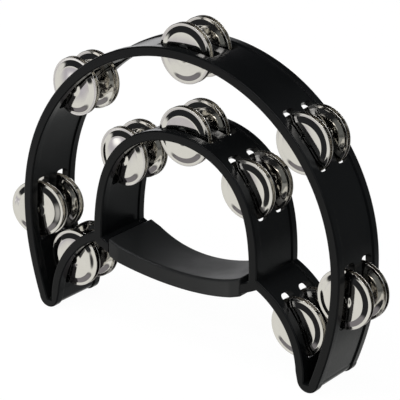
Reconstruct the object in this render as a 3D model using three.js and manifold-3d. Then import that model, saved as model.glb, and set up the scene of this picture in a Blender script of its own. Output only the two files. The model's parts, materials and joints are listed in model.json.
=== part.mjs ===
// Cutaway hand tambourine: a black moulded frame with an outer arch, a smaller inner arch,
// two curved legs and a bowed crossbar that carries a soft grip sleeve. Ten long pins cross
// the frame from back to front, and each holds a front pair and a back pair of jingles.
//
// Millimetres, +Z up. The frame stands on its two rounded tips, with the origin on the floor
// midway between them. X runs from tip to tip, and the front of the instrument faces -Y.

import * as THREE from "three";
import { mergeVertices } from "three/addons/utils/BufferGeometryUtils.js";
import Module from "manifold-3d";

const wasm = await Module();
wasm.setup();

// ---------------------------------------------------------------- driving dimensions

const FRAME_DEPTH = 50;
const RIM_DEPTH = 6.3; // how far each full-thickness rim reaches in from its face
const WEB_INSET = 1; // the web between the rims is this much thinner on each side
const BAND_WALL = 7; // thickness of both arches at the rims
const LEG_WALL = 6.8;

// The arches are slightly squashed circles: radius * (1 + k2 cos2a + k3 sin3a + k4 cos4a).
const OUTER_ARCH = { centreZ: 62.02, radius: 147, k2: -0.088, k3: 0.03, k4: 0.007, steps: 72 };
const INNER_ARCH = { centreZ: 80.28, radius: 75.9, k2: -0.052, k3: -0.016, k4: -0.02, steps: 44 };

const LEG_CENTRE_X = 41.9;
const LEG_CENTRE_Z = 7.76;
const LEG_UNDERSIDE_RADIUS = 62.3;

const TIP_X = 113.9;
const TIP_RADIUS = 8.6;
const TIP_STEPS = 24;
const GAP_FLOOR_Z = 6.4; // lowest point of the crescent gap, just above each tip

const BAR_CENTRE_Z = 197.5; // the crossbar, its core and its grip are bowed about this height
const BAR_TOP_RADIUS = 144.4;
const BAR_UNDERSIDE_RADIUS = 151.6;
const CORE_DEPTH = 30;

const GRIP_TOP_RADIUS = 140.8;
const GRIP_UNDERSIDE_RADIUS = 153.7;
const GRIP_LENGTH = 114;
const GRIP_WAIST = 5.6; // how far front and back faces draw in at mid-length
const GRIP_WAIST_LENGTH = 97;

const SLOT_LENGTH = 47;
const SLOT_WIDTH = 12.4;
const SLOT_CORNER = 3;
const ROW_Y = 10.5; // the two rows of slots lie this far in front of and behind the middle

const PIN_RADIUS = 1;
const PIN_HEAD_RADIUS = 1.8;
const PIN_HEAD_HEIGHT = 1.2;
const PIN_FRONT_Y = -21.5;
const PIN_BACK_Y = 24.6;
const PIN_STEPS = 8;

const JINGLE_RADIUS = 21.1;
const JINGLE_DOME_RADIUS = 18; // foot of the dome, where the flat brim starts
const JINGLE_HOLLOW_RADIUS = 17.9;
const JINGLE_SHOULDER = { radius: 14.5, height: -1.02 };
const JINGLE_HOLLOW_SHOULDER = { radius: 14.4, height: -1.74 };
const JINGLE_HEIGHT = 2.5;
const JINGLE_SHEET = 0.7;
const JINGLE_HOLE_RADIUS = 2.9;
const JINGLE_PAIR_GAP = 3.3; // between the rims of the two jingles of a pair
const JINGLE_STEPS = 16;
const JINGLE_HANG = 1.8; // a jingle's loose hole lets it drop this far below its pin

const CLEARANCE = 0.3;

// Jingle stations: polar angles on each arch, and on the legs about the leg centre.
const OUTER_STATIONS = [176.1, 131.2, 90, 48.8, 3.9];
const INNER_STATIONS = [137, 90, 43];
const LEG_STATION = 31.3;
const LEG_PIN_RISE = 2.8; // leg pins sit this far above the leg's underside

// Pairs that lean in their loose holes, by degrees: a positive lean swings the left edge forward.
const LEANING = { outer_1_front: 12, outer_1_back: 6, outer_2_front: -4, inner_1_front: -4 };

// Pairs that stand back from the front wall of their slot, in mm.
const STANDING_BACK = { outer_5_front: 2 };

// ---------------------------------------------------------------- materials

const framePlastic = new THREE.MeshStandardMaterial({ color: 0x0b0c0d, roughness: 0.18, metalness: 0 });
const gripRubber = new THREE.MeshStandardMaterial({ color: 0x1b1c1d, roughness: 0.55, metalness: 0 });
const nickel = new THREE.MeshStandardMaterial({ color: 0xcfccc4, roughness: 0.12, metalness: 1 });
const steel = new THREE.MeshStandardMaterial({ color: 0xa6a7a9, roughness: 0.3, metalness: 1 });

// ---------------------------------------------------------------- solids

function toSolid(geometry) {
  const bare = geometry.clone();
  bare.deleteAttribute("normal");
  bare.deleteAttribute("uv");
  const merged = mergeVertices(bare, 1e-4);
  const mesh = new wasm.Mesh({
    numProp: 3,
    vertProperties: new Float32Array(merged.attributes.position.array),
    triVerts: new Uint32Array(merged.index.array),
  });
  return new wasm.Manifold(mesh);
}

function toGeometry(solid) {
  const mesh = solid.getMesh();
  const geometry = new THREE.BufferGeometry();
  geometry.setAttribute("position", new THREE.BufferAttribute(mesh.vertProperties, 3));
  geometry.setIndex(new THREE.BufferAttribute(mesh.triVerts, 1));
  geometry.computeVertexNormals();
  return geometry;
}

function unite(solids) {
  return solids.reduce((sum, solid) => sum.add(solid));
}

// A block that spans the given ranges.
function block([lowX, highX], [lowY, highY], [lowZ, highZ]) {
  const geometry = new THREE.BoxGeometry(highX - lowX, highY - lowY, highZ - lowZ);
  geometry.translate((lowX + highX) / 2, (lowY + highY) / 2, (lowZ + highZ) / 2);
  return toSolid(geometry);
}

// A cylinder that runs from front to back, with a flat facet at its lowest point.
function rod(x, z, radius, [lowY, highY], steps) {
  const geometry = new THREE.CylinderGeometry(radius, radius, highY - lowY, steps);
  geometry.rotateY(Math.PI / steps);
  geometry.translate(x, (lowY + highY) / 2, z);
  return toSolid(geometry);
}

// A flat outline in X and Z, given depth along Y.
function extrudeAlongY(shape, [lowY, highY]) {
  const geometry = new THREE.ExtrudeGeometry(shape, { depth: highY - lowY, bevelEnabled: false });
  geometry.rotateX(Math.PI / 2);
  geometry.translate(0, highY, 0);
  return toSolid(geometry);
}

function archRadius(arch, angle) {
  const { radius, k2, k3, k4 } = arch;
  return radius * (1 + k2 * Math.cos(2 * angle) + k3 * Math.sin(3 * angle) + k4 * Math.cos(4 * angle));
}

// The whole area inside an arch's outer edge, grown by offset.
function archArea(arch, offset, rangeY) {
  const points = [];
  for (let step = 0; step < arch.steps; step += 1) {
    const angle = (2 * Math.PI * step) / arch.steps;
    const radius = archRadius(arch, angle) + offset;
    points.push(new THREE.Vector2(radius * Math.cos(angle), arch.centreZ + radius * Math.sin(angle)));
  }
  return extrudeAlongY(new THREE.Shape(points), rangeY);
}

// ---------------------------------------------------------------- jingle stations

function archStation(arch, degrees) {
  const angle = THREE.MathUtils.degToRad(degrees);
  const radius = archRadius(arch, angle) - BAND_WALL / 2;
  return {
    x: radius * Math.cos(angle),
    z: arch.centreZ + radius * Math.sin(angle),
    tilt: angle,
  };
}

function legStation(side) {
  const angle = THREE.MathUtils.degToRad(LEG_STATION);
  const radius = LEG_UNDERSIDE_RADIUS + LEG_PIN_RISE;
  return {
    x: side * (LEG_CENTRE_X + radius * Math.cos(angle)),
    z: LEG_CENTRE_Z + radius * Math.sin(angle),
    tilt: side > 0 ? angle : Math.PI - angle,
  };
}

const stations = [
  ...OUTER_STATIONS.map((angle, i) => ({ name: `outer_${i + 1}`, ...archStation(OUTER_ARCH, angle) })),
  ...INNER_STATIONS.map((angle, i) => ({ name: `inner_${i + 1}`, ...archStation(INNER_ARCH, angle) })),
  { name: "leg_left", ...legStation(-1) },
  { name: "leg_right", ...legStation(1) },
];

// ---------------------------------------------------------------- frame

// One slice of the frame's outline over a range of depth, with every wall thinned by inset.
function frameSlice(inset, rangeY) {
  const barSteps = 72;
  const legSteps = 56;
  const tipZ = TIP_RADIUS * Math.cos(Math.PI / TIP_STEPS);
  const everything = [-200, 200];
  const sides = [-1, 1];

  const bar = rod(0, BAR_CENTRE_Z, BAR_UNDERSIDE_RADIUS - inset, rangeY, barSteps);
  const legHollows = sides.map((side) =>
    rod(side * LEG_CENTRE_X, LEG_CENTRE_Z, LEG_UNDERSIDE_RADIUS + inset, rangeY, legSteps));
  const legBacks = sides.map((side) =>
    rod(side * LEG_CENTRE_X, LEG_CENTRE_Z, LEG_UNDERSIDE_RADIUS + LEG_WALL - inset, rangeY, legSteps));
  const tips = sides.map((side) => rod(side * TIP_X, tipZ, TIP_RADIUS - inset, rangeY, TIP_STEPS));
  const legHollowTop = LEG_CENTRE_Z + LEG_UNDERSIDE_RADIUS;
  const middle = block([-LEG_CENTRE_X, LEG_CENTRE_X], rangeY, [-LEG_CENTRE_Z, legHollowTop]);
  const belowTips = block(everything, rangeY, [-200, tipZ]);

  const underBar = unite([...legHollows, middle]).subtract(bar);
  const handOpening = archArea(INNER_ARCH, inset - BAND_WALL, rangeY)
    .intersect(rod(0, BAR_CENTRE_Z, BAR_TOP_RADIUS + inset, rangeY, barSteps));
  const crescent = archArea(OUTER_ARCH, inset - BAND_WALL, rangeY)
    .subtract(archArea(INNER_ARCH, -inset, rangeY))
    .subtract(unite(legBacks))
    .subtract(block(everything, rangeY, [-200, GAP_FLOOR_Z - inset]));

  return archArea(OUTER_ARCH, -inset, rangeY)
    .subtract(belowTips)
    .add(unite(tips))
    .subtract(underBar)
    .subtract(handOpening)
    .subtract(crescent);
}

// A slot for one pair of jingles, cut square through the wall at a station, with rounded corners.
function slot(station, rowY) {
  const inward = 11;
  const outward = 5.5;
  const sideY = SLOT_WIDTH / 2 - SLOT_CORNER;
  const endZ = SLOT_LENGTH / 2 - SLOT_CORNER;
  const outline = new THREE.Shape();
  outline.absarc(sideY, endZ, SLOT_CORNER, 0, 0.5 * Math.PI);
  outline.absarc(-sideY, endZ, SLOT_CORNER, 0.5 * Math.PI, Math.PI);
  outline.absarc(-sideY, -endZ, SLOT_CORNER, Math.PI, 1.5 * Math.PI);
  outline.absarc(sideY, -endZ, SLOT_CORNER, 1.5 * Math.PI, 2 * Math.PI);
  const geometry = new THREE.ExtrudeGeometry(outline, {
    depth: inward + outward,
    bevelEnabled: false,
    curveSegments: 2,
  });
  // The outline is drawn across and along the wall, and the depth runs out through it.
  geometry.rotateX(Math.PI / 2);
  geometry.rotateZ(Math.PI / 2);
  geometry.translate(-inward, 0, 0);
  geometry.rotateY(-station.tilt);
  geometry.translate(station.x, rowY, station.z);
  return toSolid(geometry);
}

// The hole for a station's pin: blind in the front rim, with a seat for its head at the back.
function pinHole(station) {
  const back = FRAME_DEPTH / 2;
  const seatY = PIN_BACK_Y - PIN_HEAD_HEIGHT - CLEARANCE;
  const eased = (radius) => (radius + CLEARANCE) / Math.cos(Math.PI / PIN_STEPS);
  return rod(station.x, station.z, eased(PIN_RADIUS), [PIN_FRONT_Y - CLEARANCE, back + 1], PIN_STEPS)
    .add(rod(station.x, station.z, eased(PIN_HEAD_RADIUS), [seatY, back + 1], PIN_STEPS));
}

// The band of a bowed bar between two radii.
function bowedBand(topRadius, undersideRadius, length, rangeY) {
  const steps = 90;
  const halfLength = length / 2;
  return rod(0, BAR_CENTRE_Z, undersideRadius, rangeY, steps)
    .subtract(rod(0, BAR_CENTRE_Z, topRadius, [rangeY[0] - 1, rangeY[1] + 1], steps))
    .intersect(block([-halfLength, halfLength], rangeY, [0, BAR_CENTRE_Z / 2]));
}

function makeFrame() {
  const half = FRAME_DEPTH / 2;
  const web = frameSlice(WEB_INSET, [-half, half]);
  const frontRim = frameSlice(0, [-half, RIM_DEPTH - half]);
  const backRim = frameSlice(0, [half - RIM_DEPTH, half]);
  const moulding = unite([web, frontRim, backRim]);

  // The bar keeps only its core where the sleeve goes.
  const sleeveSpace = GRIP_LENGTH + 2 * CLEARANCE;
  const core = block([-sleeveSpace, sleeveSpace], [-CORE_DEPTH / 2, CORE_DEPTH / 2], [0, BAR_CENTRE_Z / 2]);
  const aroundCore = bowedBand(GRIP_TOP_RADIUS, GRIP_UNDERSIDE_RADIUS, sleeveSpace, [-half - 1, half + 1])
    .subtract(core);
  const slots = stations.flatMap((station) => [slot(station, -ROW_Y), slot(station, ROW_Y)]);
  const holes = stations.map(pinHole);

  return moulding
    .subtract(aroundCore)
    .subtract(unite(slots))
    .subtract(unite(holes));
}

// ---------------------------------------------------------------- grip

// The sleeve seen from above: full depth at the ends, drawn in to a waist at the middle.
function gripPlan() {
  const steps = 16;
  const half = FRAME_DEPTH / 2;
  const halfLength = GRIP_LENGTH / 2;
  const halfWaist = GRIP_WAIST_LENGTH / 2;
  const front = [];
  for (let step = 0; step <= steps; step += 1) {
    const x = halfWaist * (2 * (step / steps) - 1);
    front.push(new THREE.Vector2(x, -half + GRIP_WAIST * (1 - (x / halfWaist) ** 2)));
  }
  front.unshift(new THREE.Vector2(-halfLength, -half));
  front.push(new THREE.Vector2(halfLength, -half));
  const back = front.map((point) => new THREE.Vector2(-point.x, -point.y));
  const geometry = new THREE.ExtrudeGeometry(new THREE.Shape([...front, ...back]), {
    depth: BAR_CENTRE_Z / 2,
    bevelEnabled: false,
  });
  return toSolid(geometry);
}

function makeGrip() {
  const half = FRAME_DEPTH / 2;
  const coreHalf = CORE_DEPTH / 2 + CLEARANCE;
  const tunnel = bowedBand(
    BAR_TOP_RADIUS + WEB_INSET - CLEARANCE,
    BAR_UNDERSIDE_RADIUS - WEB_INSET + CLEARANCE,
    GRIP_LENGTH + 2,
    [-coreHalf, coreHalf],
  );
  return bowedBand(GRIP_TOP_RADIUS, GRIP_UNDERSIDE_RADIUS, GRIP_LENGTH, [-half, half])
    .intersect(gripPlan())
    .subtract(tunnel);
}

// ---------------------------------------------------------------- pins and jingles

function lathe(profile, steps) {
  const points = profile.map(([radius, height]) => new THREE.Vector2(radius, height));
  return toGeometry(toSolid(new THREE.LatheGeometry(points, steps)));
}

function makePin() {
  const headY = PIN_BACK_Y - PIN_HEAD_HEIGHT;
  return lathe([
    [0, PIN_FRONT_Y],
    [PIN_RADIUS, PIN_FRONT_Y],
    [PIN_RADIUS, headY],
    [PIN_HEAD_RADIUS, headY],
    [PIN_HEAD_RADIUS, PIN_BACK_Y],
    [0, PIN_BACK_Y],
  ], PIN_STEPS);
}

// A small cymbal: a dome that falls away from the pin hole, which is at height 0, to a flat rim.
function makeJingle() {
  const rimTop = JINGLE_SHEET - JINGLE_HEIGHT;
  return lathe([
    [JINGLE_HOLE_RADIUS, -JINGLE_SHEET],
    [JINGLE_HOLLOW_SHOULDER.radius, JINGLE_HOLLOW_SHOULDER.height],
    [JINGLE_HOLLOW_RADIUS, -JINGLE_HEIGHT],
    [JINGLE_RADIUS, -JINGLE_HEIGHT],
    [JINGLE_RADIUS, rimTop],
    [JINGLE_DOME_RADIUS, rimTop],
    [JINGLE_SHOULDER.radius, JINGLE_SHOULDER.height],
    [JINGLE_HOLE_RADIUS, 0],
    [JINGLE_HOLE_RADIUS, -JINGLE_SHEET],
  ], JINGLE_STEPS);
}

// ---------------------------------------------------------------- assembly

const tambourine = new THREE.Group();

function addPiece(name, geometry, material, parent = tambourine) {
  const mesh = new THREE.Mesh(geometry, material);
  mesh.name = name;
  parent.add(mesh);
  return mesh;
}

addPiece("frame", toGeometry(makeFrame()), framePlastic);
addPiece("handle_grip", toGeometry(makeGrip()), gripRubber);

const pinGeometry = makePin();
const jingleGeometry = makeJingle();

for (const station of stations) {
  const group = new THREE.Group();
  group.position.set(station.x, 0, station.z);
  tambourine.add(group);
  addPiece(`pin_${station.name}`, pinGeometry, steel, group);

  // The two jingles of a pair face each other hollow to hollow, slid forward in their slot.
  for (const [row, rowY] of [["front", -ROW_Y], ["back", ROW_Y]]) {
    const pair = `${station.name}_${row}`;
    const lean = THREE.MathUtils.degToRad(LEANING[pair] ?? 0);
    const room = CLEARANCE + (JINGLE_HOLE_RADIUS + 0.1) * Math.sin(Math.abs(lean));
    const holeY = rowY - SLOT_WIDTH / 2 + room + (STANDING_BACK[pair] ?? 0);
    const spread = 2 * JINGLE_HEIGHT + JINGLE_PAIR_GAP;
    for (const [letter, y, turn] of [["a", holeY, Math.PI], ["b", holeY + spread, 0]]) {
      const jingle = addPiece(`jingle_${pair}_${letter}`, jingleGeometry, nickel, group);
      jingle.position.set(0, y, -JINGLE_HANG);
      jingle.rotation.set(turn, 0, lean, "ZYX");
    }
  }
}

export default tambourine;
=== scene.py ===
# Cutaway hand tambourine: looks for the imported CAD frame. The moulded frame, the soft grip, the
# pins and the jingles are built again at full detail from the same driving dimensions, and each
# new piece rides on the CAD body of the node that it replaces. Outlines are in millimetres.

import json
import math

import bmesh
import bpy
from mathutils import Matrix, Vector
from mathutils.geometry import tessellate_polygon


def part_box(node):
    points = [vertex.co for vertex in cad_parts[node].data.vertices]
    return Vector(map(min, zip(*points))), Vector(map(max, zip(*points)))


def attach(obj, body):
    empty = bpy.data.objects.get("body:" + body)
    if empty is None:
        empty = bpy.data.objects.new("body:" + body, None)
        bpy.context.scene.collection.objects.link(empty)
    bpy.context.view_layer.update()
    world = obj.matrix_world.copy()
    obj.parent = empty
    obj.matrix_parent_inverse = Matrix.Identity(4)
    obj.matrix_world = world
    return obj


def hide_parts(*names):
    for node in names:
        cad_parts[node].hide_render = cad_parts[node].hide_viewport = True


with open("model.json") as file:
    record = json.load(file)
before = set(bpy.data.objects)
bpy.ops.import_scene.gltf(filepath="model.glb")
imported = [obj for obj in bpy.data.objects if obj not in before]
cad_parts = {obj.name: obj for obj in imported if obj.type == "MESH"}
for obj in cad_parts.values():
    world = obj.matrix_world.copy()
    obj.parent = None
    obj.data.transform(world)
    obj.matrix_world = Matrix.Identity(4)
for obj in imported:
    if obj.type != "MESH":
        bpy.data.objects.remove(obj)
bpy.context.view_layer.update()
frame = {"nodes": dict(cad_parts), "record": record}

MM = 0.001

# ------------------------------------------------------------------ driving dimensions, in mm

HALF_DEPTH = 25.0
RIM_DEPTH = 6.3
WEB_INSET = 1.0
BAND_WALL = 7.0
RIM_EDGE = 1.1  # rounding of the rims' outer edges
STEP_EDGE = 0.35  # rounding of the step from rim to web
STEP_FILLET = 0.25

OUTER_ARCH = {"z": 62.02, "radius": 147.0, "k2": -0.088, "k3": 0.03, "k4": 0.007}
INNER_ARCH = {"z": 80.28, "radius": 75.9, "k2": -0.052, "k3": -0.016, "k4": -0.02}

LEG_CENTRE = (41.9, 7.76)
LEG_UNDERSIDE = 62.3
LEG_BACK = 69.1
TIP_CENTRE = (113.9, 8.6)
TIP_RADIUS = 8.6
TIP_ARC = (195.0, 356.0)  # degrees of the tip's circle, from the leg round to the outer arch
LEG_UNDERSIDE_END = 5.0  # degrees of the leg's circle, where its underside meets the tip
GAP_FLOOR = 6.4

POINT_SPACING = 1.6  # along the outlines
TIP_SPACING = 0.8

BAR_CENTRE = (0.0, 197.5)
BAR_TOP = 144.4
BAR_UNDERSIDE = 151.6
CORE_HALF_DEPTH = 15.0

GRIP_TOP = 140.8
GRIP_UNDERSIDE = 153.7
GRIP_HALF_LENGTH = 57.0
GRIP_WAIST = 5.6
GRIP_WAIST_HALF_LENGTH = 48.5
GRIP_ROUND = 1.9  # long edges of the sleeve
GRIP_LEAST_ROUND = 0.3
GRIP_END_ROUND = 0.9
GRIP_STEPS = 72
GRIP_SEAT_HEIGHT = 50.0  # space for the sleeve beside the core, taller than the crossbar
GRIP_SEAT_Z = 60.0
TUNNEL_STEPS = 48

SLOT = {"inward": 11.0, "outward": 5.5, "width": 12.4, "length": 47.0, "row": 10.5, "corner": 3.0}
SLOT_EDGE = 0.45
SLOT_SHARP = 55.0  # degrees. Edges of a slot are sharper than this, and no others near it are

PIN_RADIUS = 1.0
PIN_HEAD_RADIUS = 1.8
PIN_HEAD_HEIGHT = 1.2
PIN_CHAMFER = 0.3
PIN_CROWN = 0.55
PIN_HEAD_EDGE = 0.1
CLEARANCE = 0.3  # between separate pieces

JINGLE_RADIUS = 21.1
JINGLE_HEIGHT = 2.5
JINGLE_SHEET = 0.4
JINGLE_HOLE_RADIUS = 2.9
JINGLE_HOLE_EDGE = 0.12
JINGLE_STEP = 1.2  # about the longest step along the radius
# The outer face as (radius, slope downwards in degrees), from the hole's edge to the rim
JINGLE_HUB = [(3.2, 2), (4.2, 3), (4.6, 14), (6.2, 14), (6.8, 1)]
JINGLE_DOME = [(14.8, 3.2)]
JINGLE_FLANK = [(15.3, 18), (18.7, 18.5)]
JINGLE_BRIM = [(19.2, 1), (19.9, 0), (20.05, 7), (20.2, -7), (20.35, 0), (20.6, 0)]
JINGLE_CURL = [(0.25, 0.03), (0.07, -0.06)]  # the rim's rounding: inset, height above the brim
LEANING = {"outer_1_front": 12, "outer_1_back": 6, "outer_2_front": -4, "inner_1_front": -4}

# ------------------------------------------------------------------ mesh helpers


def add_object(name, mesh):
    obj = bpy.data.objects.new(name, mesh)
    bpy.context.scene.collection.objects.link(obj)
    return obj


def mesh_from(name, verts, faces):
    """A mesh in metres from points in millimetres, with its faces turned outwards."""
    mesh = bpy.data.meshes.new(name)
    mesh.from_pydata([tuple(c * MM for c in v) for v in verts], [], faces)
    bm = bmesh.new()
    bm.from_mesh(mesh)
    bmesh.ops.recalc_face_normals(bm, faces=bm.faces)
    bm.to_mesh(mesh)
    bm.free()
    return mesh


def apply_modifiers(obj):
    bpy.context.view_layer.update()
    depsgraph = bpy.context.evaluated_depsgraph_get()
    mesh = bpy.data.meshes.new_from_object(obj.evaluated_get(depsgraph), depsgraph=depsgraph)
    obj.modifiers.clear()
    obj.data = mesh


def cut(obj, cutter_meshes):
    """Takes closed cutters, which don't touch each other, out of obj."""
    bm = bmesh.new()
    for mesh in cutter_meshes:
        bm.from_mesh(mesh)
    joined = bpy.data.meshes.new("cutters")
    bm.to_mesh(joined)
    bm.free()
    cutter = add_object("cutters", joined)
    modifier = obj.modifiers.new("cut", "BOOLEAN")
    modifier.operation = "DIFFERENCE"
    modifier.solver = "EXACT"
    modifier.object = cutter
    apply_modifiers(obj)
    bpy.data.objects.remove(cutter)


def shade(obj, angle=38.0):
    """Smooth shading that breaks at sharp edges and keeps large faces flat."""
    obj.data.shade_smooth()
    obj.data.set_sharp_from_angle(angle=math.radians(angle))
    modifier = obj.modifiers.new("normals", "WEIGHTED_NORMAL")
    modifier.keep_sharp = True
    modifier.weight = 80
    apply_modifiers(obj)


def box_mesh(size, matrix):
    """A box of the given size in mm about its own origin, placed by a matrix in mm."""
    corners = [
        matrix @ Vector((x * size[0] / 2, y * size[1] / 2, z * size[2] / 2))
        for x in (-1, 1)
        for y in (-1, 1)
        for z in (-1, 1)
    ]
    faces = [(0, 1, 3, 2), (4, 6, 7, 5), (0, 4, 5, 1), (2, 3, 7, 6), (0, 2, 6, 4), (1, 5, 7, 3)]
    return mesh_from("box", [tuple(c) for c in corners], faces)


def lathe_mesh(name, profile, steps):
    """A closed profile of (radius, y) turned about the Y axis. Radius 0 is a single point."""
    verts, rings = [], []
    for radius, y in profile:
        if radius == 0:
            rings.append([len(verts)] * steps)
            verts.append((0, y, 0))
            continue
        rings.append(list(range(len(verts), len(verts) + steps)))
        for i in range(steps):
            turn = 2 * math.pi * i / steps
            verts.append((radius * math.cos(turn), y, radius * math.sin(turn)))
    faces = []
    for k, ring in enumerate(rings):
        after = rings[(k + 1) % len(rings)]
        if profile[k][0] == 0 and profile[(k + 1) % len(profile)][0] == 0:
            continue
        for i in range(steps):
            j = (i + 1) % steps
            face = []
            for v in (ring[i], ring[j], after[j], after[i]):
                if v not in face:
                    face.append(v)
            faces.append(face)
    return mesh_from(name, verts, faces)


def quarter(count):
    """Angles over a quarter turn, both ends included."""
    return [math.pi / 2 * i / count for i in range(count + 1)]


# ------------------------------------------------------------------ outlines of the frame


def circle(centre, radius):
    return lambda turn: (centre[0] + radius * math.cos(turn), centre[1] + radius * math.sin(turn))


def arch(kind, offset):
    def point(turn):
        squash = (
            kind["k2"] * math.cos(2 * turn)
            + kind["k3"] * math.sin(3 * turn)
            + kind["k4"] * math.cos(4 * turn)
        )
        radius = kind["radius"] * (1 + squash) + offset
        return radius * math.cos(turn), kind["z"] + radius * math.sin(turn)

    return point


def run(curve, start, end, spacing=POINT_SPACING):
    """Points along a curve from one parameter to another, about spacing apart."""
    rough = [curve(start + (end - start) * i / 20) for i in range(21)]
    length = sum(math.dist(a, b) for a, b in zip(rough, rough[1:]))
    count = max(2, round(length / spacing))
    return [curve(start + (end - start) * i / count) for i in range(count + 1)]


def last_true(test, true_end, false_end):
    """The parameter where test turns from true to false."""
    for _ in range(50):
        middle = (true_end + false_end) / 2
        if test(middle):
            true_end = middle
        else:
            false_end = middle
    return true_end


def turn_of(point, centre):
    return math.atan2(point[1] - centre[1], point[0] - centre[0])


def inside(point, centre, radius):
    return math.dist(point, centre) < radius


def joined(*runs):
    """Runs end to end, without the doubled points where they meet."""
    points = []
    for part in runs:
        for point in part:
            if not points or math.dist(points[-1], point) > 0.05:
                points.append(point)
    return points


def mirrored(half):
    """A loop from its right half, which starts and ends on the middle plane."""
    left = [(-x, z) for x, z in reversed(half[1:-1])]
    return half + left


def frame_loops():
    """Outer edge, gap between the arches, and hand opening. Material lies left of each.

    Each call of last_true has an angle on either side of the place where two curves meet.
    """
    quarter_turn = math.pi / 2
    inner_middle = (0, INNER_ARCH["z"])
    bar_under = circle(BAR_CENTRE, BAR_UNDERSIDE)
    bar_top = circle(BAR_CENTRE, BAR_TOP)
    leg_under = circle(LEG_CENTRE, LEG_UNDERSIDE)
    leg_back = circle(LEG_CENTRE, LEG_BACK)
    outer, outer_inside = arch(OUTER_ARCH, 0), arch(OUTER_ARCH, -BAND_WALL)
    inner, inner_inside = arch(INNER_ARCH, 0), arch(INNER_ARCH, -BAND_WALL)

    bar_end = last_true(
        lambda t: inside(bar_under(t), LEG_CENTRE, LEG_UNDERSIDE),
        math.radians(-74),
        math.radians(-50),
    )
    outer_start = last_true(lambda t: outer(t)[1] > TIP_CENTRE[1], 0, math.radians(-40))
    outline = joined(
        run(bar_under, -quarter_turn, bar_end),
        run(leg_under, turn_of(bar_under(bar_end), LEG_CENTRE), math.radians(LEG_UNDERSIDE_END)),
        run(circle(TIP_CENTRE, TIP_RADIUS), *map(math.radians, TIP_ARC), TIP_SPACING),
        run(outer, outer_start, quarter_turn),
    )

    gap_end = last_true(lambda t: outer_inside(t)[1] > GAP_FLOOR, 0, math.radians(-40))
    leg_foot = math.asin((GAP_FLOOR - LEG_CENTRE[1]) / LEG_BACK)

    def clear_of_inner(t):
        point = leg_back(t)
        edge = inner(turn_of(point, inner_middle))
        return not inside(point, inner_middle, math.dist(edge, inner_middle))

    leg_top = last_true(clear_of_inner, leg_foot, math.radians(85))
    inner_start = turn_of(leg_back(leg_top), inner_middle)
    gap = joined(
        run(outer_inside, quarter_turn, gap_end),
        run(leg_back, leg_foot, leg_top),
        run(inner, inner_start, quarter_turn),
    )

    hand_end = last_true(
        lambda t: inside(inner_inside(t), BAR_CENTRE, BAR_TOP), 0, math.radians(-60)
    )
    hand = joined(
        run(inner_inside, quarter_turn, hand_end),
        run(bar_top, turn_of(inner_inside(hand_end), BAR_CENTRE), -quarter_turn),
    )
    return [mirrored(half) for half in (outline, gap, hand)]


def inset_loop(loop, distance):
    """The loop moved into the material by distance, with mitred corners."""

    def left_of(a, b):
        length = math.dist(a, b)
        return (a[1] - b[1]) / length, (b[0] - a[0]) / length

    moved = []
    for i, point in enumerate(loop):
        before = left_of(loop[i - 1], point)
        after = left_of(point, loop[(i + 1) % len(loop)])
        scale = distance / (1 + before[0] * after[0] + before[1] * after[1])
        moved.append(
            (point[0] + scale * (before[0] + after[0]), point[1] + scale * (before[1] + after[1]))
        )
    return moved


def depth_profile():
    """(y, inset) from the front face to the back face: rim edge, step, web, and the same again."""
    step_y = RIM_DEPTH - HALF_DEPTH
    front = []
    for a in quarter(5):
        front.append((-HALF_DEPTH + RIM_EDGE * (1 - math.cos(a)), RIM_EDGE * (1 - math.sin(a))))
    for a in quarter(3):
        front.append((step_y - STEP_EDGE * (1 - math.sin(a)), STEP_EDGE * (1 - math.cos(a))))
    for a in quarter(3):
        front.append(
            (step_y + STEP_FILLET * (1 - math.cos(a)), WEB_INSET - STEP_FILLET * (1 - math.sin(a)))
        )
    return front + [(-y, inset) for y, inset in reversed(front)]


def frame_blank():
    loops = frame_loops()
    profile = depth_profile()
    verts, faces = [], []
    ends = {0: [], len(profile) - 1: []}
    for loop in loops:
        levels = []
        for level, (y, inset) in enumerate(profile):
            points = inset_loop(loop, inset)
            levels.append(range(len(verts), len(verts) + len(points)))
            verts.extend((x, y, z) for x, z in points)
            if level in ends:
                ends[level].append(levels[-1])
        for here, after in zip(levels, levels[1:]):
            for i in range(len(loop)):
                j = (i + 1) % len(loop)
                faces.append((here[i], here[j], after[j], after[i]))
    for rings in ends.values():
        index = [i for ring in rings for i in ring]
        outlines = [[Vector((verts[i][0], verts[i][2], 0)) for i in ring] for ring in rings]
        faces.extend(tuple(index[i] for i in tri) for tri in tessellate_polygon(outlines))
    return mesh_from("frame_blank", verts, faces)


# ------------------------------------------------------------------ stations, from the CAD pins


def station_list():
    stations = []
    for node in frame["nodes"]:
        if not node.startswith("pin_"):
            continue
        name = node[len("pin_"):]
        low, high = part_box(node)
        x, z = (low[0] + high[0]) / 2 / MM, (low[2] + high[2]) / 2 / MM
        if name.startswith("leg"):
            side = 1 if x > 0 else -1
            tilt = turn_of((abs(x), z), LEG_CENTRE)
            tilt = tilt if side > 0 else math.pi - tilt
        else:
            centre = OUTER_ARCH if name.startswith("outer") else INNER_ARCH
            tilt = turn_of((x, z), (0, centre["z"]))
        stations.append({"name": name, "x": x, "z": z, "tilt": tilt, "y": (low[1] / MM, high[1] / MM)})
    return stations


STATIONS = station_list()


def slot_matrix(station, row):
    """Local X runs outward through the wall, Y to the back, and Z along the wall."""
    turn = Matrix.Rotation(-station["tilt"], 4, "Y")
    return Matrix.Translation((station["x"], row, station["z"])) @ turn


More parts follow.
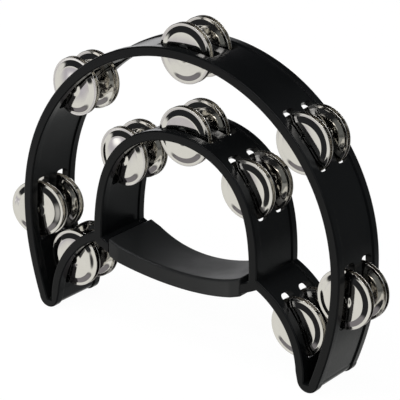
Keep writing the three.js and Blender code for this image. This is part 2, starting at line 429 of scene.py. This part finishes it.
def slot_cutter(matrix):
    """A slot's space: a rectangle with rounded corners in Y and Z, run through the wall along X."""
    side = SLOT["width"] / 2 - SLOT["corner"]
    end = SLOT["length"] / 2 - SLOT["corner"]
    outline = []
    for turn, (y, z) in enumerate(((side, end), (-side, end), (-side, -end), (side, -end))):
        for angle in quarter(8):
            angle += turn * math.pi / 2
            corner = SLOT["corner"]
            outline.append((y + corner * math.cos(angle), z + corner * math.sin(angle)))
    count = len(outline)
    verts = [
        tuple(matrix @ Vector((x, y, z)))
        for x in (-SLOT["inward"], SLOT["outward"])
        for y, z in outline
    ]
    faces = [list(range(count)), list(range(count, 2 * count))]
    faces += [(i, (i + 1) % count, count + (i + 1) % count, count + i) for i in range(count)]
    return mesh_from("slot", verts, faces)


def mark_slot_edges(mesh):
    """Bevel weights on the sharp edges that the slots left."""
    places = [slot_matrix(s, row).inverted() for s in STATIONS for row in (-SLOT["row"], SLOT["row"])]
    margin = 0.02
    reach = (SLOT["inward"] + 1.5, SLOT["width"] / 2 + margin, SLOT["length"] / 2 + margin)
    bm = bmesh.new()
    bm.from_mesh(mesh)
    layer = bm.edges.layers.float.new("bevel_weight_edge")
    for edge in bm.edges:
        if len(edge.link_faces) != 2 or edge.calc_face_angle() < math.radians(SLOT_SHARP):
            continue
        ends = [v.co / MM for v in edge.verts]
        for place in places:
            local = [place @ end for end in ends]
            if all(all(abs(c) <= r for c, r in zip(p, reach)) for p in local):
                edge[layer] = 1.0
                break
    bm.to_mesh(mesh)
    bm.free()


def cut_slots(obj):
    """Front and back slots at every station, with their edges rounded over."""
    rows = (-SLOT["row"], SLOT["row"])
    cut(obj, [slot_cutter(slot_matrix(station, row)) for station in STATIONS for row in rows])
    mark_slot_edges(obj.data)
    bevel = obj.modifiers.new("slot edges", "BEVEL")
    bevel.limit_method = "WEIGHT"
    bevel.width = SLOT_EDGE * MM
    bevel.segments = 3
    bevel.use_clamp_overlap = True
    apply_modifiers(obj)


def grip_seat(side):
    """The block in front of or behind the crossbar's core that makes room for the sleeve."""
    length = 2 * (GRIP_HALF_LENGTH + CLEARANCE)
    depth = HALF_DEPTH - CORE_HALF_DEPTH + 2
    middle = (0, side * (CORE_HALF_DEPTH + depth / 2), GRIP_SEAT_Z)
    return box_mesh((length, depth, GRIP_SEAT_HEIGHT), Matrix.Translation(middle))


def pin_hole(station):
    """A hole from the back face, blind in the front rim, with a seat for the pin's head."""
    front, back = station["y"]
    seat = back - PIN_HEAD_HEIGHT - CLEARANCE
    blind = front - CLEARANCE
    shaft, head = PIN_RADIUS + CLEARANCE, PIN_HEAD_RADIUS + CLEARANCE
    end = HALF_DEPTH + 1
    profile = [(0, blind), (shaft, blind), (shaft, seat), (head, seat), (head, end), (0, end)]
    hole = lathe_mesh("hole", profile, 24)
    hole.transform(Matrix.Translation((station["x"] * MM, 0, station["z"] * MM)))
    return hole


def make_frame():
    obj = add_object("moulded_frame", frame_blank())
    cut_slots(obj)
    cut(obj, [grip_seat(side) for side in (-1, 1)])
    cut(obj, [pin_hole(station) for station in STATIONS])
    shade(obj)
    return obj


# ------------------------------------------------------------------ grip


def grip_half_depth(x):
    waist = max(0.0, 1 - (x / GRIP_WAIST_HALF_LENGTH) ** 2)
    return HALF_DEPTH - GRIP_WAIST * waist


def grip_section(x, inset):
    """The sleeve's cross-section at x as (y, radius about the bar's centre), drawn in by inset."""
    half = grip_half_depth(x) - inset
    top, under = GRIP_TOP + inset, GRIP_UNDERSIDE - inset
    corner = max(GRIP_LEAST_ROUND, GRIP_ROUND - 0.4 * inset)
    points = []
    corners = [
        (half - corner, top + corner, -math.pi / 2),
        (half - corner, under - corner, 0),
        (corner - half, under - corner, math.pi / 2),
        (corner - half, top + corner, math.pi),
    ]
    for y, radius, start in corners:
        for a in quarter(6):
            points.append((y + corner * math.cos(start + a), radius + corner * math.sin(start + a)))
    return points


def grip_rings():
    """(x, inset) from end to end: a rounded end, the sleeve, and the other rounded end."""
    end = []
    for a in quarter(4):
        x = -GRIP_HALF_LENGTH + GRIP_END_ROUND * (1 - math.cos(a))
        end.append((x, GRIP_END_ROUND * (1 - math.sin(a))))
    flat_half = GRIP_HALF_LENGTH - GRIP_END_ROUND
    middle = [(flat_half * (2 * i / GRIP_STEPS - 1), 0.0) for i in range(1, GRIP_STEPS)]
    return end + middle + [(-x, inset) for x, inset in reversed(end)]


def along_bar(name, sections):
    """A closed solid through sections of (x, [(y, radius about the bar's centre), ...])."""
    verts, faces, levels = [], [], []
    for x, points in sections:
        levels.append(range(len(verts), len(verts) + len(points)))
        for y, radius in points:
            verts.append((x, y, BAR_CENTRE[1] - math.sqrt(radius**2 - x**2)))
    for here, after in zip(levels, levels[1:]):
        for i in range(len(here)):
            j = (i + 1) % len(here)
            faces.append((here[i], here[j], after[j], after[i]))
    faces.append(tuple(levels[0]))
    faces.append(tuple(reversed(levels[-1])))
    return mesh_from(name, verts, faces)


def core_tunnel():
    """The space that the crossbar's core takes in the sleeve, run out past both ends."""
    half_y = CORE_HALF_DEPTH + CLEARANCE
    low = BAR_TOP + WEB_INSET - CLEARANCE
    high = BAR_UNDERSIDE - WEB_INSET + CLEARANCE
    corners = [(-half_y, low), (half_y, low), (half_y, high), (-half_y, high)]
    reach = GRIP_HALF_LENGTH + 2
    steps = range(TUNNEL_STEPS + 1)
    return along_bar("tunnel", [(reach * (2 * i / TUNNEL_STEPS - 1), corners) for i in steps])


def make_grip():
    sections = [(x, grip_section(x, inset)) for x, inset in grip_rings()]
    obj = add_object("soft_grip", along_bar("soft_grip", sections))
    cut(obj, [core_tunnel()])
    shade(obj)
    return obj


# ------------------------------------------------------------------ pins and jingles


def make_pin_mesh(front, back):
    """A drawn pin with a chamfered end and a low domed head at the back."""
    head = back - PIN_HEAD_HEIGHT
    profile = [(0, front), (PIN_RADIUS - PIN_CHAMFER, front)]
    profile += [(PIN_RADIUS, front + PIN_CHAMFER), (PIN_RADIUS, head)]
    profile += [(PIN_HEAD_RADIUS - PIN_HEAD_EDGE, head), (PIN_HEAD_RADIUS, head + PIN_HEAD_EDGE)]
    for a in quarter(5):
        profile.append((PIN_HEAD_RADIUS * math.cos(a), back - PIN_CROWN + PIN_CROWN * math.sin(a)))
    profile[-1] = (0, back)
    return lathe_mesh("pin", profile, 32)


def jingle_face():
    """The outer face as (radius, y): a low hub, a shallow dome, a flank, and a brim with a crease."""
    slopes = JINGLE_HUB + JINGLE_DOME + JINGLE_FLANK + JINGLE_BRIM
    points = [(slopes[0][0], 0.0)]
    for (r0, s0), (r1, s1) in zip(slopes, slopes[1:]):
        parts = max(2, round((r1 - r0) / JINGLE_STEP))
        for i in range(parts):
            slope = math.radians(s0 + (s1 - s0) * (i + 0.5) / parts)
            radius, y = points[-1]
            step = (r1 - r0) / parts
            points.append((radius + step, y - step * math.tan(slope)))
    return points


def make_jingle_mesh():
    """The face, a rounded rim, and the underside one sheet thickness below."""
    face = jingle_face()
    rim_y = face[-1][1]
    rim = [(JINGLE_RADIUS - inset, rim_y + lift) for inset, lift in JINGLE_CURL]
    rim.append((JINGLE_RADIUS, rim_y - JINGLE_SHEET / 2))
    for inset, lift in reversed(JINGLE_CURL):
        rim.append((JINGLE_RADIUS - inset, rim_y - JINGLE_SHEET - lift))
    under = [(r, y - JINGLE_SHEET) for r, y in reversed(face)]
    hole = [(JINGLE_HOLE_RADIUS, JINGLE_HOLE_EDGE - JINGLE_SHEET)]
    hole.append((JINGLE_HOLE_RADIUS, -JINGLE_HOLE_EDGE))
    return lathe_mesh("jingle", face + rim + under + hole, 84)


BODY_OF = {}
for body, nodes in frame["record"]["behaviour"]["bodies"].items():
    for node in nodes:
        BODY_OF[node] = body


def ride_and_stand_for(obj, node):
    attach(obj, BODY_OF[node])
    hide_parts(node)


# ------------------------------------------------------------------ materials


class Nodes:
    """A short way to write a node tree."""

    def __init__(self, tree):
        self.tree = tree
        tree.nodes.clear()

    def add(self, kind, inputs=None, **settings):
        node = self.tree.nodes.new(kind)
        for key, value in settings.items():
            setattr(node, key, value)
        for key, value in (inputs or {}).items():
            socket = node.inputs[key]
            if isinstance(value, bpy.types.NodeSocket):
                self.tree.links.new(value, socket)
            else:
                socket.default_value = value
        return node


def new_material(name):
    material = bpy.data.materials.new(name)
    material.use_nodes = True
    return material, Nodes(material.node_tree)


def maths(n, operation, *values):
    """The result of one Math node. Its values are numbers or sockets."""
    return n.add("ShaderNodeMath", dict(enumerate(values)), operation=operation).outputs[0]


def mixed(n, fac, first, second):
    """A colour from first to second as fac goes from 0 to 1. Either may be a socket."""
    inputs = {0: fac, 6: first, 7: second}
    return n.add("ShaderNodeMix", inputs, data_type="RGBA").outputs[2]


def noise(n, vector, scale, detail=3.0, roughness=0.5):
    inputs = {"Vector": vector, "Scale": scale, "Detail": detail, "Roughness": roughness}
    return n.add("ShaderNodeTexNoise", inputs).outputs["Fac"]


def spread(n, value, low, high, from_low=0.3, from_high=0.7):
    """Maps the middle of a noise's range to low..high."""
    inputs = {"Value": value, "From Min": from_low, "From Max": from_high, "To Min": low, "To Max": high}
    return n.add("ShaderNodeMapRange", inputs).outputs["Result"]


def bump(n, height, distance, strength, normal=None):
    inputs = {"Height": height, "Distance": distance, "Strength": strength}
    if normal is not None:
        inputs["Normal"] = normal
    return n.add("ShaderNodeBump", inputs).outputs["Normal"]


def tint(n, fac, dark, light):
    return mixed(n, fac, (*dark, 1), (*light, 1))


def stretched(n, vector, scale):
    return n.add("ShaderNodeVectorMath", {0: vector, 1: scale}, operation="MULTIPLY").outputs[0]


def finish_material(n, **inputs):
    shader = n.add("ShaderNodeBsdfPrincipled", {key.replace("_", " "): v for key, v in inputs.items()})
    n.add("ShaderNodeOutputMaterial", {"Surface": shader.outputs[0]})


def plastic_material():
    """Gloss-black moulded plastic: faint flow ripple, fine mould grain and light handling marks."""
    material, n = new_material("frame_plastic")
    where = n.add("ShaderNodeTexCoord").outputs["Object"]
    ripple = noise(n, where, 90, 2)
    grain = noise(n, where, 1600, 2)
    marks = noise(n, stretched(n, where, (700, 60, 700)), 1, 4, 0.6)
    cloud = noise(n, where, 35, 4)
    polish = spread(n, cloud, 0.17, 0.24)
    rough = maths(n, "ADD", polish, spread(n, marks, 0.0, 0.05, 0.55, 0.75))
    normal = bump(n, ripple, 0.00012, 0.25)
    normal = bump(n, grain, 0.00001, 0.35, normal)
    finish_material(
        n,
        Base_Color=tint(n, cloud, (0.0045, 0.005, 0.0053), (0.0075, 0.008, 0.0085)),
        Roughness=rough,
        IOR=1.46,
        Specular_IOR_Level=0.2,
        Normal=normal,
    )
    return material


def rubber_material():
    """Soft-touch black: fine even grain, with a slightly polished patchwork from hands."""
    material, n = new_material("grip_rubber")
    where = n.add("ShaderNodeTexCoord").outputs["Object"]
    grain = noise(n, where, 2600, 3, 0.6)
    pores = n.add("ShaderNodeTexVoronoi", {"Vector": where, "Scale": 1500.0}).outputs["Distance"]
    cloud = noise(n, where, 45, 4)
    normal = bump(n, grain, 0.00003, 0.5)
    normal = bump(n, pores, 0.00002, 0.3, normal)
    finish_material(
        n,
        Base_Color=tint(n, cloud, (0.014, 0.0148, 0.0152), (0.019, 0.0198, 0.02)),
        Roughness=spread(n, cloud, 0.46, 0.56),
        IOR=1.48,
        Normal=normal,
    )
    return material


def nickel_material():
    """Polished nickel plate on a stamped disc: spun rings, hairline scratches and faint haze."""
    material, n = new_material("jingle_nickel")
    where = n.add("ShaderNodeTexCoord").outputs["Object"]
    apart = n.add("ShaderNodeSeparateXYZ", {"Vector": where})
    flat = n.add("ShaderNodeCombineXYZ", {"X": apart.outputs["X"], "Z": apart.outputs["Z"]}).outputs[0]
    radius = n.add("ShaderNodeVectorMath", {0: flat}, operation="LENGTH").outputs["Value"]
    along = n.add("ShaderNodeCombineXYZ", {"X": radius}).outputs[0]
    rings = noise(n, along, 2600, 3, 0.6)
    scratches = noise(n, stretched(n, where, (900, 900, 120)), 1, 3, 0.6)
    haze = noise(n, where, 160, 4)
    polish = spread(n, haze, 0.05, 0.08)
    rough = maths(n, "ADD", polish, spread(n, scratches, 0.0, 0.04, 0.55, 0.75))
    normal = bump(n, rings, 0.000002, 0.2)
    finish_material(
        n,
        Base_Color=tint(n, haze, (0.72, 0.70, 0.655), (0.79, 0.77, 0.73)),
        Metallic=1.0,
        Roughness=rough,
        Normal=normal,
    )
    return material


def steel_material():
    """Drawn wire: streaks along the pin."""
    material, n = new_material("pin_steel")
    where = n.add("ShaderNodeTexCoord").outputs["Object"]
    streaks = noise(n, stretched(n, where, (5000, 150, 5000)), 1, 3, 0.6)
    finish_material(
        n,
        Base_Color=tint(n, streaks, (0.42, 0.40, 0.37), (0.62, 0.60, 0.57)),
        Metallic=1.0,
        Roughness=spread(n, streaks, 0.2, 0.34),
        Normal=bump(n, streaks, 0.00001, 0.4),
    )
    return material


# ------------------------------------------------------------------ the tambourine

def smooth_with(mesh, material, angle):
    """Smooth shading that breaks at edges sharper than the angle, and one material."""
    mesh.shade_smooth()
    mesh.set_sharp_from_angle(angle=math.radians(angle))
    mesh.materials.append(material)


def add_frame_and_grip():
    moulding = make_frame()
    moulding.data.materials.clear()
    moulding.data.materials.append(plastic_material())
    ride_and_stand_for(moulding, "frame")

    grip = make_grip()
    grip.data.materials.clear()
    grip.data.materials.append(rubber_material())
    ride_and_stand_for(grip, "handle_grip")


def add_pin(station, mesh):
    pin = add_object("steel_pin_" + station["name"], mesh)
    pin.matrix_world = Matrix.Translation((station["x"] * MM, 0, station["z"] * MM))
    ride_and_stand_for(pin, "pin_" + station["name"])


def add_pair(station, row, mesh):
    """Two jingles hollow to hollow, a nearer the front, each in its CAD node's place and lean."""
    pair = station["name"] + "_" + row
    lean = math.radians(LEANING.get(pair, 0.0))
    reach = (JINGLE_HEIGHT * math.cos(lean) + JINGLE_RADIUS * math.sin(abs(lean))) * MM
    for letter in "ab":
        node = "jingle_" + pair + "_" + letter
        low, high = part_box(node)
        hole_y = high[1] - reach if letter == "a" else low[1] + reach
        place = Matrix.Translation((station["x"] * MM, hole_y, (low[2] + high[2]) / 2))
        turn = Matrix.Rotation(lean, 4, "Z")
        if letter == "a":
            turn = turn @ Matrix.Rotation(math.pi, 4, "X")
        jingle = add_object("nickel_" + node, mesh)
        jingle.matrix_world = place @ turn
        ride_and_stand_for(jingle, node)


add_frame_and_grip()

jingle_mesh = make_jingle_mesh()
smooth_with(jingle_mesh, nickel_material(), 50)
pin_mesh = make_pin_mesh(*STATIONS[0]["y"])
smooth_with(pin_mesh, steel_material(), 40)

for station in STATIONS:
    add_pin(station, pin_mesh)
    for row in ("front", "back"):
        add_pair(station, row, jingle_mesh)

# ------------------------------------------------------------------ floor, backdrop and light


FLOOR_HALF_WIDTH = 6.0  # metres, as is the backdrop's radius
BACKDROP_RADIUS = 9.0
WHITE = (1.0, 1.0, 1.0)


def glowing_material(name, colour, strength, diffuse=0.0):
    """A surface that gives its own even light, and scatters a little of what falls on it."""
    material, n = new_material(name)
    shader = n.add(
        "ShaderNodeBsdfPrincipled",
        {
            "Base Color": (diffuse, diffuse, diffuse, 1),
            "Roughness": 1.0,
            "Specular IOR Level": 0.0,
            "Emission Color": (*colour, 1),
            "Emission Strength": strength,
        },
    )
    n.add("ShaderNodeOutputMaterial", {"Surface": shader.outputs[0]})
    return material


def seen_by_camera_only(obj):
    obj.visible_glossy = False
    obj.visible_diffuse = False
    obj.visible_shadow = False


def make_floor():
    reach = FLOOR_HALF_WIDTH
    corners = [(-reach, -reach, 0), (reach, -reach, 0), (reach, reach, 0), (-reach, reach, 0)]
    mesh = bpy.data.meshes.new("floor")
    mesh.from_pydata(corners, [], [(0, 1, 2, 3)])
    mesh.materials.append(glowing_material("pale_floor", WHITE, 0.975, 0.05))
    return add_object("floor", mesh)


def make_backdrop():
    bm = bmesh.new()
    bmesh.ops.create_uvsphere(bm, u_segments=48, v_segments=24, radius=BACKDROP_RADIUS)
    mesh = bpy.data.meshes.new("backdrop")
    bm.to_mesh(mesh)
    bm.free()
    mesh.materials.append(glowing_material("white_backdrop", WHITE, 1.0))
    return add_object("backdrop", mesh)


floor, backdrop = make_floor(), make_backdrop()
seen_by_camera_only(floor)
seen_by_camera_only(backdrop)

# The studio around the object, painted in order from back to front. Each band of the
# surroundings has an azimuth range, an elevation range, a softness and a colour. Angles are in
# degrees, and azimuth turns from the front (-Y, 0) to the left (-X, 90).
SURROUNDINGS = (0.02, 0.021, 0.023)
BANDS = [
    ((-172, -40), (-12, 50), 12, (0.17, 0.18, 0.185)),  # grey room on the right
    ((5, 112), (-38, -7), 2, (0.82, 0.82, 0.79)),  # white table in front and to the left
    ((-180, 180), (-95, -39), 3, (0.22, 0.21, 0.225)),  # table close by, in the object's shade
    ((105, 190), (-64, -28), 4, (0.70, 0.70, 0.68)),  # table behind on the left
    ((-190, -92), (-64, -15), 4, (0.31, 0.32, 0.32)),  # table behind on the right, in shade
    ((162, 190), (-38, -5), 3, (0.80, 0.80, 0.78)),  # far edge of the table, straight behind
    ((-190, -162), (-38, -5), 3, (0.80, 0.80, 0.78)),
    ((64, 112), (-9, 12), 3, (0.80, 0.80, 0.78)),  # white wall on the left
    ((30, 44), (-18.5, -13), 1.5, (0.60, 0.58, 0.61)),  # a soft shadow on the table
    ((43, 52), (-20, -12), 2, (0.52, 0.50, 0.56)),  # umbrella low on the left
    ((46, 49), (-17.5, -15), 1, (1.5, 1.5, 1.5)),  # its bright middle
    ((122, 148), (-6, 32), 5, (1.3, 1.3, 1.32)),  # bright wall behind on the left
    ((-66, -26), (14, 48), 8, (1.1, 1.15, 1.2)),  # window high at the front right
    ((-92, -16), (-38, -10), 6, (0.50, 0.50, 0.49)),  # table on the right
    ((-44, 24), (37, 45), 3, (7.0, 7.0, 7.1)),  # strip light above the front
]


def window(n, value, low, high, soft):
    """1 where value lies between low and high, with soft ends."""
    ends = []
    for edge, sign in ((low, 1), (high, -1)):
        inputs = {"Value": value, "From Min": edge - sign * soft, "From Max": edge + sign * soft}
        fade = n.add("ShaderNodeMapRange", inputs, interpolation_type="SMOOTHSTEP")
        ends.append(fade.outputs["Result"])
    return maths(n, "MULTIPLY", *ends)


def make_world():
    world = bpy.data.worlds.new("studio")
    bpy.context.scene.world = world
    world.use_nodes = True
    n = Nodes(world.node_tree)
    apart = n.add("ShaderNodeSeparateXYZ", {0: n.add("ShaderNodeTexCoord").outputs["Generated"]})
    left = maths(n, "MULTIPLY", apart.outputs["X"], -1.0)
    front = maths(n, "MULTIPLY", apart.outputs["Y"], -1.0)
    azimuth = maths(n, "DEGREES", maths(n, "ARCTAN2", left, front))
    elevation = maths(n, "DEGREES", maths(n, "ARCSINE", apart.outputs["Z"]))
    colour = (*SURROUNDINGS, 1)
    for azimuths, elevations, soft, paint in BANDS:
        across = window(n, azimuth, *azimuths, soft)
        upward = window(n, elevation, *elevations, soft)
        colour = mixed(n, maths(n, "MULTIPLY", across, upward), colour, (*paint, 1))
    background = n.add("ShaderNodeBackground", {"Color": colour, "Strength": 1.0})
    n.add("ShaderNodeOutputWorld", {"Surface": background.outputs[0]})


make_world()


def softbox(name, position, aim, size, power):
    data = bpy.data.lights.new(name, "AREA")
    data.shape = "RECTANGLE"
    data.size, data.size_y = size
    data.energy = power
    light = bpy.data.objects.new(name, data)
    light.location = position
    light.rotation_mode = "QUATERNION"
    light.rotation_quaternion = (Vector(aim) - Vector(position)).to_track_quat("-Z", "Y")
    bpy.context.scene.collection.objects.link(light)
    return light


overhead = softbox("overhead", (-0.5, -0.3, 1.6), (0, 0, 0.1), (1.2, 1.0), 12)
overhead.visible_glossy = False

# ------------------------------------------------------------------ camera

AZIMUTH, ELEVATION, ROLL = map(math.radians, (36.165, 21.039, 0.992))
LENS_MM, SENSOR_MM = 180.0, 36.0
CAMERA_SHIFT = Vector((-3.14, 18.883, 1380.702))  # target as seen from the camera, in mm
TARGET = Vector((0, 0, 124.361))


def make_camera():
    right = Vector((math.cos(AZIMUTH), math.sin(AZIMUTH), 0))
    back = Vector(
        (
            math.sin(AZIMUTH) * math.cos(ELEVATION),
            -math.cos(AZIMUTH) * math.cos(ELEVATION),
            math.sin(ELEVATION),
        )
    )
    up = back.cross(right)
    rolled_right = math.cos(ROLL) * right + math.sin(ROLL) * up
    rolled_up = -math.sin(ROLL) * right + math.cos(ROLL) * up
    x, y, z = CAMERA_SHIFT
    place = (TARGET - x * rolled_right - y * rolled_up + z * back) * MM
    data = bpy.data.cameras.new("camera")
    data.lens, data.sensor_width = LENS_MM, SENSOR_MM
    data.clip_start, data.clip_end = 0.05, 50
    camera = bpy.data.objects.new("camera", data)
    axes = Matrix((rolled_right, rolled_up, back)).transposed().to_4x4()
    camera.matrix_world = Matrix.Translation(place) @ axes
    bpy.context.scene.collection.objects.link(camera)
    bpy.context.scene.camera = camera


make_camera()
bpy.context.scene.view_settings.view_transform = "Standard"
